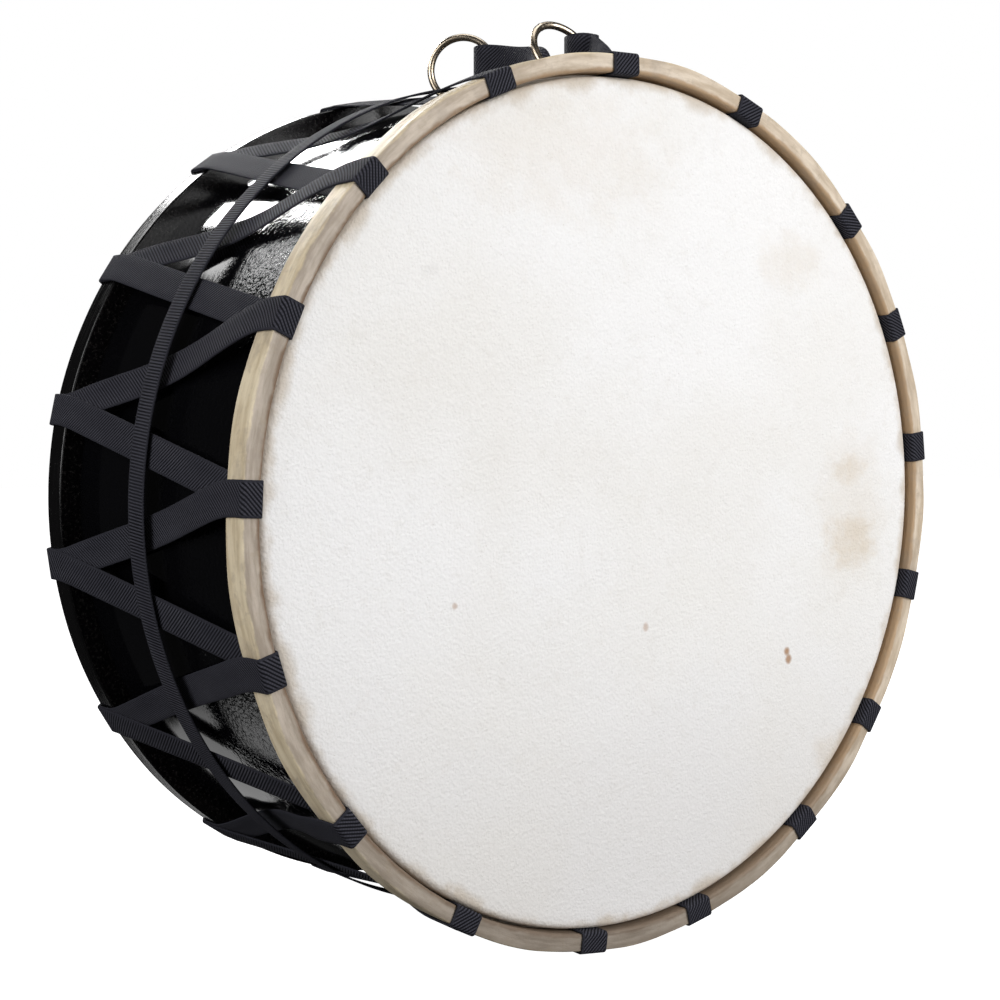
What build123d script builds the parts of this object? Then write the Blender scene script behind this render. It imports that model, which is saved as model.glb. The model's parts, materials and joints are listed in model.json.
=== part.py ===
"""Laced two-headed bass drum: bent-wood shell, two hide heads under hoops, webbing lacing, carrying rings.

Frame: millimetres, +Z up, the drum's axis along Y, its front head facing -Y. The origin is the crown of
the belt that runs round the lacing, midway between the two carrying rings, where the drum hangs from.
"""

import os
from math import cos, degrees, radians, sin

from build123d import *

os.makedirs("parts", exist_ok=True)

# Driving dimensions
HOOP_R = 300.0  # outside of both hoops
HOOP_IN_R = 288.0  # inside of both hoops
HOOP_W = 21.0  # hoop, along the drum's axis
DEPTH = 276.0  # front hoop's face to rear hoop's face
SHELL_R = 285.2
SHELL_T = 8.0
EDGE_R = 4.0  # rounding of the shell's bearing edges
HOOP_ROUNDING = 1.5  # corners of the rear hoop
CORE_ROUNDING = 3.0  # corners of the front hoop's wooden core
RECESS = 5.0  # heads lie this far inside the hoops' faces
HIDE_T = 0.9
WEB_W = 22.0  # webbing
WEB_T = 1.4
BELT_IN_R = 295.7
BELT_Y = 144.0  # belt's centre line behind the front hoop's face
BELT_LAP = 12.0  # degrees of belt that overlap where its ends are sewn
RING_R = 24.25  # carrying ring, to the middle of its wire
RING_WIRE_R = 2.75
INNER_RING_W = 30.0  # reinforcing rings inside the shell's edges
INNER_RING_T = 6.0

# Lacing: where each strap loop crosses a hoop, in degrees from +X towards +Z. It was laced by hand, so
# the steps aren't even. Each rear loop lies between the front loops of the same and of the next index.
FRONT_LOOPS = [7, 26, 44, 69, 92, 113, 136, 156, 177, 197, 219, 241, 263, 282, 305, 325, 346]
REAR_LOOPS = [17, 35, 57, 80.5, 102.5, 126, 147, 167.5, 188, 211, 235, 255, 273, 293, 315, 335, 356]

BELT_R = BELT_IN_R + WEB_T
AXIS_Z = -BELT_R
FRONT_Y = -BELT_Y
AXIS_LINE = Axis((0, 0, AXIS_Z), (0, 1, 0))
SKIRT_R = SHELL_R + HIDE_T  # outside of the hide that is drawn over the shell
LEG_R = SKIRT_R + 0.25  # inner leg of a strap loop, between hide and hoop
FLANGE_Y = HOOP_W - HIDE_T
SLOT_IN_R = SKIRT_R + 0.05  # slots in the hide, where the strap passes behind a hoop
SLOT_OUT_R = HOOP_IN_R + 0.3
SLOT_ARC = degrees((WEB_W + 1.0) / HOOP_IN_R)


def place(x, y, z):
    """A point given from the centre of the front hoop's face, which lies on the drum's axis."""
    return (x, FRONT_Y + y, AXIS_Z + z)


def radial_plane(angle):
    """Plane through the axis at an angle: X runs out from the axis, Y to the rear from the front face."""
    a = radians(angle)
    return Plane(origin=place(0, 0, 0), x_dir=(cos(a), 0, sin(a)), z_dir=(-sin(a), 0, cos(a)))


def strap_section(angle, radius, y, toward):
    """Plane across a strap that lies flat on a radius, facing along the way that the strap runs."""
    a = radians(angle)
    return Plane(
        origin=place(radius * cos(a), y, radius * sin(a)),
        x_dir=(-sin(a), 0, cos(a)),
        z_dir=toward,
    )


def rear(y):
    """The mirror place of y at the rear end."""
    return DEPTH - y


def corners_at(radius):
    """The corners at a radius of the profile that is being drawn, from the front to the rear."""
    return vertices().filter_by_position(Axis.X, radius - 0.1, radius + 0.1).sort_by(Axis.Y)


# Shell, with the reinforcing rings that are glued inside its two edges
with BuildPart() as shell:
    with BuildSketch(radial_plane(0)):
        with Locations((SHELL_R - SHELL_T / 2, DEPTH / 2)):
            Rectangle(SHELL_T, DEPTH - 2 * (RECESS + HIDE_T))
        fillet(corners_at(SHELL_R), EDGE_R)
    revolve(axis=AXIS_LINE)
shell.part.label = "shell"
export_step(shell.part, "parts/shell.step")


def inner_ring(name, y):
    """A reinforcing ring inside the shell, centred at y."""
    with BuildPart() as ring:
        with BuildSketch(radial_plane(0)):
            with Locations((SHELL_R - SHELL_T - INNER_RING_T / 2, y)):
                Rectangle(INNER_RING_T, INNER_RING_W)
        revolve(axis=AXIS_LINE)
    ring.part.label = name
    export_step(ring.part, f"parts/{name}.step")


EDGE_SETBACK = RECESS + HIDE_T + INNER_RING_W / 2 + 3  # a hoop's face to a ring's middle
inner_ring("shell_ring_front", EDGE_SETBACK)
inner_ring("shell_ring_rear", rear(EDGE_SETBACK))

# Front hoop: the wooden core that the hide is lapped round
with BuildPart() as front_hoop:
    with BuildSketch(radial_plane(0)):
        with Locations(((HOOP_R + HOOP_IN_R) / 2, HOOP_W / 2)):
            RectangleRounded(HOOP_R - HOOP_IN_R - 2 * HIDE_T, HOOP_W - 2 * HIDE_T, CORE_ROUNDING)
    revolve(axis=AXIS_LINE)
front_hoop.part.label = "front_hoop"
export_step(front_hoop.part, "parts/front_hoop.step")

# Rear hoop: bare lacquered wood
with BuildPart() as rear_hoop:
    with BuildSketch(radial_plane(0)):
        with Locations(((HOOP_R + HOOP_IN_R) / 2, rear(HOOP_W / 2))):
            RectangleRounded(HOOP_R - HOOP_IN_R, HOOP_W, HOOP_ROUNDING)
    revolve(axis=AXIS_LINE)
rear_hoop.part.label = "rear_hoop"
export_step(rear_hoop.part, "parts/rear_hoop.step")


# Front head: hide drawn over the shell's edge, out behind the hoop, round it and back inside it
TUCK_Y = FLANGE_Y - 3
CORE_OUT_R = HOOP_R - HIDE_T
CORE_IN_R = HOOP_IN_R + HIDE_T
with BuildPart() as front_head:
    with BuildSketch(radial_plane(0)):
        with BuildLine():
            Polyline(
                (0, RECESS),
                (0, RECESS + HIDE_T),
                (SHELL_R, RECESS + HIDE_T),
                (SHELL_R, HOOP_W),
                (HOOP_R, HOOP_W),
                (HOOP_R, 0),
                (HOOP_IN_R, 0),
                (HOOP_IN_R, TUCK_Y),
                (CORE_IN_R, TUCK_Y),
                (CORE_IN_R, HIDE_T),
                (CORE_OUT_R, HIDE_T),
                (CORE_OUT_R, FLANGE_Y),
                (SKIRT_R, FLANGE_Y),
                (SKIRT_R, RECESS),
                close=True,
            )
        make_face()
        fillet(corners_at(SHELL_R)[0], EDGE_R)
        fillet(corners_at(SKIRT_R)[0], EDGE_R + HIDE_T)
    revolve(axis=AXIS_LINE)
    for angle in FRONT_LOOPS:
        with BuildSketch(radial_plane(angle + SLOT_ARC / 2)):
            with Locations(((SLOT_IN_R + SLOT_OUT_R) / 2, FLANGE_Y + HIDE_T / 2)):
                Rectangle(SLOT_OUT_R - SLOT_IN_R, 2 * HIDE_T)
        revolve(axis=AXIS_LINE, revolution_arc=SLOT_ARC, mode=Mode.SUBTRACT)
front_head.part.label = "front_head"
export_step(front_head.part, "parts/front_head.step")

# Rear head: hide drawn over the shell's edge and trimmed flush under the hoop
TRIM_R = HOOP_R - 1
with BuildPart() as rear_head:
    with BuildSketch(radial_plane(0)):
        with BuildLine():
            Polyline(
                (0, rear(RECESS)),
                (0, rear(RECESS + HIDE_T)),
                (SHELL_R, rear(RECESS + HIDE_T)),
                (SHELL_R, rear(HOOP_W + HIDE_T)),
                (TRIM_R, rear(HOOP_W + HIDE_T)),
                (TRIM_R, rear(HOOP_W)),
                (SKIRT_R, rear(HOOP_W)),
                (SKIRT_R, rear(RECESS)),
                close=True,
            )
        make_face()
        fillet(corners_at(SHELL_R)[-1], EDGE_R)
        fillet(corners_at(SKIRT_R)[-1], EDGE_R + HIDE_T)
    revolve(axis=AXIS_LINE)
    for angle in REAR_LOOPS:
        with BuildSketch(radial_plane(angle + SLOT_ARC / 2)):
            with Locations(((SLOT_IN_R + SLOT_OUT_R) / 2, rear(HOOP_W + HIDE_T / 2))):
                Rectangle(SLOT_OUT_R - SLOT_IN_R, 2 * HIDE_T)
        revolve(axis=AXIS_LINE, revolution_arc=SLOT_ARC, mode=Mode.SUBTRACT)
rear_head.part.label = "rear_head"
export_step(rear_head.part, "parts/rear_head.step")


# Lacing: one strap in a zigzag, here its loops round each hoop and the spans between them
LOOP_ARC = degrees(WEB_W / HOOP_R)
LEG_END = FLANGE_Y - 0.05


def strap_loops(name, angles, end, layers):
    """The strap's U round the hoop at each angle. end maps a depth at the front to its own end. The strap
    lies in this many layers on the hoop's outer face and end face, and in one inside the hoop."""
    build_up = layers * WEB_T
    with BuildPart() as loops:
        for angle in angles:
            with BuildSketch(radial_plane(angle + LOOP_ARC / 2)):
                with BuildLine():
                    Polyline(
                        (HOOP_R, end(HOOP_W)),
                        (HOOP_R + build_up, end(HOOP_W)),
                        (HOOP_R + build_up, end(-build_up)),
                        (LEG_R, end(-build_up)),
                        (LEG_R, end(LEG_END)),
                        (LEG_R + WEB_T, end(LEG_END)),
                        (LEG_R + WEB_T, end(0)),
                        (HOOP_R, end(0)),
                        close=True,
                    )
                make_face()
            revolve(axis=AXIS_LINE, revolution_arc=LOOP_ARC)
    loops.part.label = name
    export_step(loops.part, f"parts/{name}.step")


strap_loops("lacing_front_loops", FRONT_LOOPS, lambda y: y, 1)
strap_loops("lacing_rear_loops", REAR_LOOPS, rear, 2)

OUTER_R = HOOP_R + WEB_T / 2  # middle of the strap on a hoop's outer face
UPPER_R = OUTER_R + WEB_T  # the same where it lies over another layer
UNDER_R = LEG_R + WEB_T / 2  # middle of the strap inside a hoop
# Middle of a span where the belt draws it in: of one that is over the front hoop, and of one that isn't
LOWER_DRAWN_R = 290.1
UPPER_DRAWN_R = 293.1


def strap_spans(name, pairs, front_end, middle, rear_end):
    """Strap spans, bent once in the middle. An end, or the middle, is the strap's (radius, y); a pair is
    its front and rear angle."""
    with BuildPart() as spans:
        for front_angle, rear_angle in pairs:
            mid_angle = (front_angle + rear_angle) / 2
            sections = [(front_angle, *front_end), (mid_angle, *middle), (rear_angle, *rear_end)]
            for section in sections:
                with BuildSketch(strap_section(*section, (0, 1, 0))):
                    Rectangle(WEB_W, WEB_T)
            loft(ruled=True)
    spans.part.label = name
    export_step(spans.part, f"parts/{name}.step")


NEXT_REAR = list(zip(FRONT_LOOPS, REAR_LOOPS))
LAST_REAR = list(zip(FRONT_LOOPS, [REAR_LOOPS[-1] - 360] + REAR_LOOPS[:-1]))
OVER_FRONT = ((OUTER_R, HOOP_W), (LOWER_DRAWN_R, BELT_Y), (OUTER_R, rear(HOOP_W)))
OVER_REAR = ((UNDER_R, LEG_END), (UPPER_DRAWN_R, BELT_Y), (UPPER_R, rear(HOOP_W)))
strap_spans("lacing_spans_over_front", NEXT_REAR, *OVER_FRONT)
strap_spans("lacing_spans_over_rear", LAST_REAR, *OVER_REAR)

# Belt: a strap round the lacing at mid-depth, its ends lapped and sewn low on the right-hand side
BELT_LAP_AT = 318.0
with BuildPart() as belt:
    with BuildSketch(radial_plane(0)):
        with Locations((BELT_IN_R + WEB_T / 2, BELT_Y)):
            Rectangle(WEB_T, WEB_W)
    revolve(axis=AXIS_LINE)
    with BuildSketch(radial_plane(BELT_LAP_AT)):
        with Locations((BELT_R + WEB_T / 2, BELT_Y)):
            Rectangle(WEB_T, WEB_W)
    revolve(axis=AXIS_LINE, revolution_arc=BELT_LAP)
belt.part.label = "belt"
export_step(belt.part, "parts/belt.step")

# Carrying rings: each centre, and which way the ring's plane faces
REAR_RING_AT = place(2.3, 200, 320.1)
REAR_RING_FACES = (cos(radians(224)), sin(radians(224)), 0)
FRONT_RING_AT = place(9.5, 90, 316.3)
FRONT_RING_FACES = (-0.03, -0.885, 0.465)


def carrying_ring(name, centre, faces):
    """A round steel ring of bent and welded wire."""
    flat = Plane(origin=centre, z_dir=faces)
    wire_at = centre + flat.x_dir * RING_R
    with BuildPart() as ring:
        with BuildSketch(Plane(origin=wire_at, x_dir=flat.x_dir, z_dir=flat.y_dir)):
            Circle(RING_WIRE_R)
        revolve(axis=Axis(centre, faces))
    ring.part.label = name
    export_step(ring.part, f"parts/{name}.step")


carrying_ring("ring_rear", Vector(REAR_RING_AT), REAR_RING_FACES)
carrying_ring("ring_front", Vector(FRONT_RING_AT), FRONT_RING_FACES)

# Ring tabs: webbing folded round each ring's wire, standing on edge there and turning flat at its root
TAB_T = 2 * WEB_T


def ring_tab(name, eye_at, eye_size, sections):
    """A tab. The eye is the slack loop that the wire runs through; each section is a place across the
    doubled strap, the way it runs there and the way its width lies."""
    with BuildPart() as tab:
        with BuildSketch(Plane(origin=eye_at)):
            SlotOverall(eye_size[1] + 2 * WEB_T, eye_size[0] + 2 * WEB_T, rotation=90)
            SlotOverall(eye_size[1], eye_size[0], rotation=90, mode=Mode.SUBTRACT)
        extrude(amount=WEB_W / 2, both=True)
        for (at, runs, width), (next_at, next_runs, next_width) in zip(sections, sections[1:]):
            with BuildSketch(Plane(origin=at, x_dir=width, z_dir=runs)):
                Rectangle(WEB_W, TAB_T)
            with BuildSketch(Plane(origin=next_at, x_dir=next_width, z_dir=next_runs)):
                Rectangle(WEB_W, TAB_T)
            loft(ruled=True)
    tab.part.label = name
    export_step(tab.part, f"parts/{name}.step")


ring_tab(
    "ring_tab_rear",
    place(15.9, 188, 326),
    (14.6, 20.0),
    [
        (place(16.3, 177.6, 326), (0, -1, 0), (0, 0, 1)),
        (place(15.0, 150, 320), (-0.1, -1, -0.1), (0.1, 0, 1)),
        (place(12.0, 130, 317.5), (-0.3, -1, -0.1), (0.35, 0, 0.94)),
        (place(6.0, 116, 315), (-0.3, -1, -0.4), (0.75, 0, 0.66)),
        (place(0.0, 106.5, 306.5), (-0.2, -0.3, -1), (1, 0, 0.1)),
        (place(-4.0, 109, 298), (-0.2, 0.5, -1), (1, 0, 0)),
        (place(-8.0, 121, 292.9), (0, 1, -0.1), (1, 0, 0)),
        (place(-8.0, 160, 292.9), (0, 1, 0), (1, 0, 0)),
    ],
)
ring_tab(
    "ring_tab_front",
    place(29.2, 93.3, 320.5),
    (16.2, 25.0),
    [
        (place(28.0, 80.2, 320), (-0.3, -1, -0.3), (0, 0, 1)),
        (place(19.0, 69, 315), (-0.6, -1, -0.4), (0.3, 0, 1)),
        (place(8.5, 54, 309), (-0.6, -1, -0.4), (0.7, 0, 0.8)),
        (place(-2.5, 38, 304.5), (-0.6, -1, -0.3), (1, 0, 0.3)),
        (place(-10.5, 23, 303.2), (-0.4, -1, 0), (1, 0, 0)),
    ],
)
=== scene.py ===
"""The laced bass drum's looks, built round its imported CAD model.

Sizes are in metres and angles in degrees unless a name says otherwise. A place on the drum is given as
(radius from its axis, angle from +X towards +Z, depth behind the front hoop's face).
"""

import json
from math import cos, pi, radians, sin

import bmesh
import bpy
import numpy as np
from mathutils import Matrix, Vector


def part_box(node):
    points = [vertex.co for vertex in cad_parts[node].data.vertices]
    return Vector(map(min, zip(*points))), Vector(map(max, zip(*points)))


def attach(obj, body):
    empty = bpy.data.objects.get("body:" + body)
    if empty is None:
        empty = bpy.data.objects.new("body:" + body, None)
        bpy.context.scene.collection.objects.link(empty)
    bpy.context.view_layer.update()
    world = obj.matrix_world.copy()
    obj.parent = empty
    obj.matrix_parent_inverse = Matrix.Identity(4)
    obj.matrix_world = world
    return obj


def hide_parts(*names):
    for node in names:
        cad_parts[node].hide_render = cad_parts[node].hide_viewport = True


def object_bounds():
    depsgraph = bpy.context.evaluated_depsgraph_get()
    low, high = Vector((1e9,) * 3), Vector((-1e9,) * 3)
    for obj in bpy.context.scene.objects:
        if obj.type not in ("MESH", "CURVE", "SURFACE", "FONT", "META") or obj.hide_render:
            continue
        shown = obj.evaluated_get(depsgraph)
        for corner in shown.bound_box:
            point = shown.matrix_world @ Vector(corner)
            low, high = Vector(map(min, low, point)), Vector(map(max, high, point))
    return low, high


MM = 0.001

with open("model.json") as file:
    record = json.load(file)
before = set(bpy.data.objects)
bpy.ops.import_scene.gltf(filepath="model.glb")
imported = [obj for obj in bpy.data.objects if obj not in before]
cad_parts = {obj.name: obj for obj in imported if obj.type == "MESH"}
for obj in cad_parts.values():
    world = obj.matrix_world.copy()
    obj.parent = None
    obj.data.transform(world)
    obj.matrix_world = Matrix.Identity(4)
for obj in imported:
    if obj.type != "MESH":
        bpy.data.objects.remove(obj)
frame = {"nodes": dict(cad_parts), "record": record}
CAD_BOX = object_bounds()

# The drum's own measures, read from the CAD nodes
HOOP_LOW, HOOP_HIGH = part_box("rear_hoop")
LAP_LOW, LAP_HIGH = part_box("front_head")
SHELL_LOW, SHELL_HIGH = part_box("shell")
BELT_LOW, BELT_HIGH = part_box("belt")
HOOP_R = (HOOP_HIGH.x - HOOP_LOW.x) / 2
SHELL_R = (SHELL_HIGH.x - SHELL_LOW.x) / 2
AXIS_Z = (SHELL_HIGH.z + SHELL_LOW.z) / 2
FRONT_Y = LAP_LOW.y
DEPTH = HOOP_HIGH.y - FRONT_Y
HOOP_W = LAP_HIGH.y - FRONT_Y
BELT_Y = (BELT_LOW.y + BELT_HIGH.y) / 2 - FRONT_Y
WEB_W = BELT_HIGH.y - BELT_LOW.y
SHELL_END = SHELL_LOW.y - FRONT_Y  # a hoop's face to the shell's edge

# Sizes that the boxes don't give
HOOP_IN_R = HOOP_R - 12 * MM
HIDE_T = 0.9 * MM
WEB_T = 1.4 * MM
WIRE_R = 2.75 * MM
SHELL_T = 8 * MM
SHELL_ROUND = 4 * MM  # the shell's rounded edge, which bears the head
SKIRT_R = SHELL_R + HIDE_T
BELT_R = -AXIS_Z - WEB_T / 2  # the belt's crown is the origin
STRAP_OUT_R = HOOP_R + WEB_T / 2
STRAP_IN_R = SKIRT_R + 0.25 * MM + WEB_T / 2
RECESS = SHELL_END - HIDE_T
LOWER_DRAWN_R = 290.1 * MM  # middle of a span over the front hoop, where the belt draws it in
UPPER_DRAWN_R = 293.1 * MM  # the same of a span that returns to the front
CHORD_SAG = 1.0 * MM  # how far a straight span's middle already lies inside its ends

# The lap: its rounded inner edge, and its outer edge behind and in front
LAP_INNER = 2 * MM
LAP_REAR = 1.5 * MM
LAP_RIDGE = 1.2 * MM
LAP_FACE = HOOP_R - HOOP_IN_R - LAP_INNER - LAP_REAR
# Along its profile, from the rear inner edge over the outside to where its front face begins
LAP_OUTER_V = LAP_FACE + pi / 2 * (LAP_REAR + LAP_RIDGE) + HOOP_W - LAP_REAR - LAP_RIDGE
HIDE_SEAM = -74  # where the ends of the lap's hide meet

FRONT_LOOPS = [7, 26, 44, 69, 92, 113, 136, 156, 177, 197, 219, 241, 263, 282, 305, 325, 346]
REAR_LOOPS = [17, 35, 57, 80.5, 102.5, 126, 147, 167.5, 188, 211, 235, 255, 273, 293, 315, 335, 356]


def place(radius, angle, depth):
    """A point of the row frame from a place on the drum."""
    a = radians(angle)
    return Vector((radius * cos(a), FRONT_Y + depth, AXIS_Z + radius * sin(a)))


def place_mm(x, y, z):
    """A point of the row frame in millimetres from the centre of the front hoop's face, as the CAD has it."""
    return Vector((x * MM, FRONT_Y + y * MM, AXIS_Z + z * MM))


# ---------------------------------------------------------------- meshes


def finish_mesh(name, mesh, material, body, crease=35):
    """Turns a mesh into a smooth-shaded piece that rides on a body."""
    bm = bmesh.new()
    bm.from_mesh(mesh)
    bmesh.ops.recalc_face_normals(bm, faces=bm.faces)
    bm.to_mesh(mesh)
    bm.free()
    mesh.shade_smooth()
    mesh.set_sharp_from_angle(angle=radians(crease))
    mesh.materials.append(material)
    piece = bpy.data.objects.new(name, mesh)
    bpy.context.scene.collection.objects.link(piece)
    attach(piece, body)
    return piece


def grid_mesh(name, points, uv, wrap_along, wrap_around):
    """A mesh over a grid of points, closed along and around where asked; open ends get flat caps.

    points is (along, around, 3), and uv has one more row or column than points where the grid closes.
    """
    along, around = points.shape[:2]
    rows = along if wrap_along else along - 1
    columns = around if wrap_around else around - 1
    faces = []
    corners = []
    for i in range(rows):
        for j in range(columns):
            i2, j2 = (i + 1) % along, (j + 1) % around
            faces.append((i * around + j, i2 * around + j, i2 * around + j2, i * around + j2))
            corners += [uv[i][j], uv[i + 1][j], uv[i + 1][j + 1], uv[i][j + 1]]
    if not wrap_along:
        for i in (0, along - 1):
            faces.append([i * around + j for j in range(around)])
            corners += [uv[i][j] for j in range(around)]
    if not wrap_around:
        for j in (0, around - 1):
            faces.append([i * around + j for i in range(along)])
            corners += [uv[i][j] for i in range(along)]
    mesh = bpy.data.meshes.new(name)
    mesh.from_pydata([tuple(p) for p in points.reshape(-1, 3)], [], faces)
    layer = mesh.uv_layers.new(name="UVMap")
    layer.data.foreach_set("uv", np.array(corners, dtype=np.float32).ravel())
    return mesh


def revolved(name, profile, segments, closed, shift):
    """Turns a profile of (radius, depth) points about the drum's axis.

    shift(angle, index) gives how far each point moves, as (radius, depth). U runs round the drum, and V
    along the profile, both in metres.
    """
    angles = np.arange(segments) * 360 / segments
    points = np.zeros((segments, len(profile), 3))
    for i, angle in enumerate(angles):
        for j, (radius, depth) in enumerate(profile):
            out, back = shift(angle, j)
            points[i, j] = place(radius + out, angle, depth + back)
    run = np.array(profile + profile[:1])
    v = np.concatenate([[0], np.cumsum(np.linalg.norm(np.diff(run, axis=0), axis=1))])
    u = np.arange(segments + 1) / segments * 2 * pi * HOOP_R
    uv = [[(a, b) for b in v] for a in u]
    return grid_mesh(name, points, uv, True, closed)


def corner(radius, depth, size, start, end, steps=4):
    """Points round a corner of a profile: an arc about (radius, depth) from one angle to another."""
    turn = np.radians(np.linspace(start, end, steps + 1))
    return [(radius + size * cos(a), depth + size * sin(a)) for a in turn]


def between(a, b, count):
    """Points strictly between two profile points."""
    share = np.linspace(0, 1, count + 2)[1:-1]
    return [(a[0] + (b[0] - a[0]) * s, a[1] + (b[1] - a[1]) * s) for s in share]


def strap_mesh(name, centres, across, width, thickness):
    """A flat strap along a path. across gives the way its width lies at each centre.

    U runs along the strap. V runs across one side from 0 to the width and back over the other side to
    twice the width, in metres, so that a weave keeps its size and the two sides can differ.
    """
    centres = np.array(centres, dtype=float)
    across = np.array(across, dtype=float)
    tangent = np.vstack([centres[1:], centres[-1:]]) - np.vstack([centres[:1], centres[:-1]])
    tangent /= np.linalg.norm(tangent, axis=1)[:, None]
    across -= (across * tangent).sum(1)[:, None] * tangent
    across /= np.linalg.norm(across, axis=1)[:, None]
    normal = np.cross(tangent, across)
    half, edge = width / 2, thickness / 2
    flat = np.linspace(-half + edge, half - edge, 5)
    section = [(a, edge) for a in flat] + [(half - 0.3 * edge, 0.7 * edge), (half, 0)]
    section += [(half - 0.3 * edge, -0.7 * edge)] + [(a, -edge) for a in flat[::-1]]
    section += [(-half + 0.3 * edge, -0.7 * edge), (-half, 0), (-half + 0.3 * edge, 0.7 * edge)]
    points = np.zeros((len(centres), len(section), 3))
    for j, (a, b) in enumerate(section):
        points[:, j] = centres + a * across + b * normal
    u = np.concatenate([[0], np.cumsum(np.linalg.norm(np.diff(centres, axis=0), axis=1))])
    last_of_side = len(flat) + 1
    v = [a + half if j <= last_of_side else 1.5 * width - a for j, (a, _) in enumerate(section)]
    v.append(2 * width)
    return grid_mesh(name, points, [[(a, b) for b in v] for a in u], False, True)


def waves(seed, lowest, highest, count=7):
    """A smooth function of an angle in degrees, from about -1 to 1, that meets itself after a turn."""
    numbers = np.random.default_rng(seed)
    cycles = numbers.integers(lowest, highest + 1, count)
    phases = numbers.uniform(0, 2 * pi, count)
    sizes = numbers.uniform(0.5, 1.0, count)
    sizes /= sizes.sum()

    def value(angle):
        return float((sizes * np.sin(cycles * radians(angle) + phases)).sum() * 2)

    return value


# ---------------------------------------------------------------- materials


class Finish:
    """A material with a Principled shader, and short calls for the nodes that the finishes share."""

    def __init__(self, name, **sockets):
        self.material = bpy.data.materials.new(name)
        self.material.use_nodes = True
        self.tree = self.material.node_tree
        self.shader = next(n for n in self.tree.nodes if n.type == "BSDF_PRINCIPLED")
        for socket, value in sockets.items():
            self.shader.inputs[socket.replace("_", " ")].default_value = value

    def node(self, kind, **settings):
        made = self.tree.nodes.new(kind)
        for name, value in settings.items():
            setattr(made, name, value)
        return made

    def feed(self, socket, value):
        """Puts a number, a colour or another node's output into a socket."""
        if isinstance(value, bpy.types.NodeSocket):
            self.tree.links.new(value, socket)
        elif isinstance(value, tuple) and len(value) == 3 and socket.type == "RGBA":
            socket.default_value = (*value, 1)
        else:
            socket.default_value = value

    def out(self, socket, value):
        self.feed(self.shader.inputs[socket], value)

    def place(self, scale=(1, 1, 1), uv=False):
        """Coordinates in metres: the row frame's, or the piece's own along and across it."""
        source = self.node("ShaderNodeTexCoord").outputs["UV" if uv else "Object"]
        if scale == (1, 1, 1):
            return source
        mapping = self.node("ShaderNodeMapping")
        self.feed(mapping.inputs["Vector"], source)
        mapping.inputs["Scale"].default_value = scale
        return mapping.outputs["Vector"]

    def noise(self, where, size, detail=4.0, roughness=0.55, distortion=0.0):
        """Noise whose features are about this size, from 0 to 1."""
        made = self.node("ShaderNodeTexNoise")
        self.feed(made.inputs["Vector"], where)
        made.inputs["Scale"].default_value = 1 / size
        made.inputs["Detail"].default_value = detail
        made.inputs["Roughness"].default_value = roughness
        made.inputs["Distortion"].default_value = distortion
        return made.outputs["Fac"]

    def cells(self, where, size):
        """Distance from the middle of the nearest cell, for cells of about this size."""
        made = self.node("ShaderNodeTexVoronoi", feature="F1")
        self.feed(made.inputs["Vector"], where)
        made.inputs["Scale"].default_value = 1 / size
        return made.outputs["Distance"]

    def ribs(self, where, pitch, wander=0.0):
        """Ridges across X at this pitch, from 0 to 1."""
        made = self.node("ShaderNodeTexWave", wave_type="BANDS", bands_direction="X")
        self.feed(made.inputs["Vector"], where)
        made.inputs["Scale"].default_value = 2 * pi / 20 / pitch
        made.inputs["Distortion"].default_value = wander
        made.inputs["Detail"].default_value = 2
        made.inputs["Detail Scale"].default_value = 0.5
        return made.outputs["Fac"]

    def between(self, value, low, high, to_low=0.0, to_high=1.0):
        """Maps low to high onto another range, smoothly."""
        made = self.node("ShaderNodeMapRange", interpolation_type="SMOOTHSTEP")
        self.feed(made.inputs["Value"], value)
        made.inputs["From Min"].default_value = low
        made.inputs["From Max"].default_value = high
        made.inputs["To Min"].default_value = to_low
        made.inputs["To Max"].default_value = to_high
        return made.outputs["Result"]

    def math(self, operation, a, b=0.0):
        made = self.node("ShaderNodeMath", operation=operation)
        self.feed(made.inputs[0], a)
        self.feed(made.inputs[1], b)
        return made.outputs["Value"]

    def total(self, *values):
        result = values[0]
        for value in values[1:]:
            result = self.math("ADD", result, value)
        return result

    def joined(self, x, y):
        made = self.node("ShaderNodeCombineXYZ")
        self.feed(made.inputs["X"], x)
        self.feed(made.inputs["Y"], y)
        return made.outputs["Vector"]

    def split(self, where):
        made = self.node("ShaderNodeSeparateXYZ")
        self.feed(made.inputs["Vector"], where)
        return made.outputs["X"], made.outputs["Y"], made.outputs["Z"]

    def mix(self, share, a, b):
        made = self.node("ShaderNodeMix", data_type="RGBA")
        self.feed(made.inputs[0], share)
        self.feed(made.inputs[6], a)
        self.feed(made.inputs[7], b)
        return made.outputs[2]

    def bump(self, height, depth, under=None):
        """Relief of this many metres from a height of 0 to 1, on top of another relief."""
        made = self.node("ShaderNodeBump")
        made.inputs["Strength"].default_value = 1
        made.inputs["Distance"].default_value = depth
        self.feed(made.inputs["Height"], height)
        if under:
            self.feed(made.inputs["Normal"], under)
        return made.outputs["Normal"]


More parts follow.
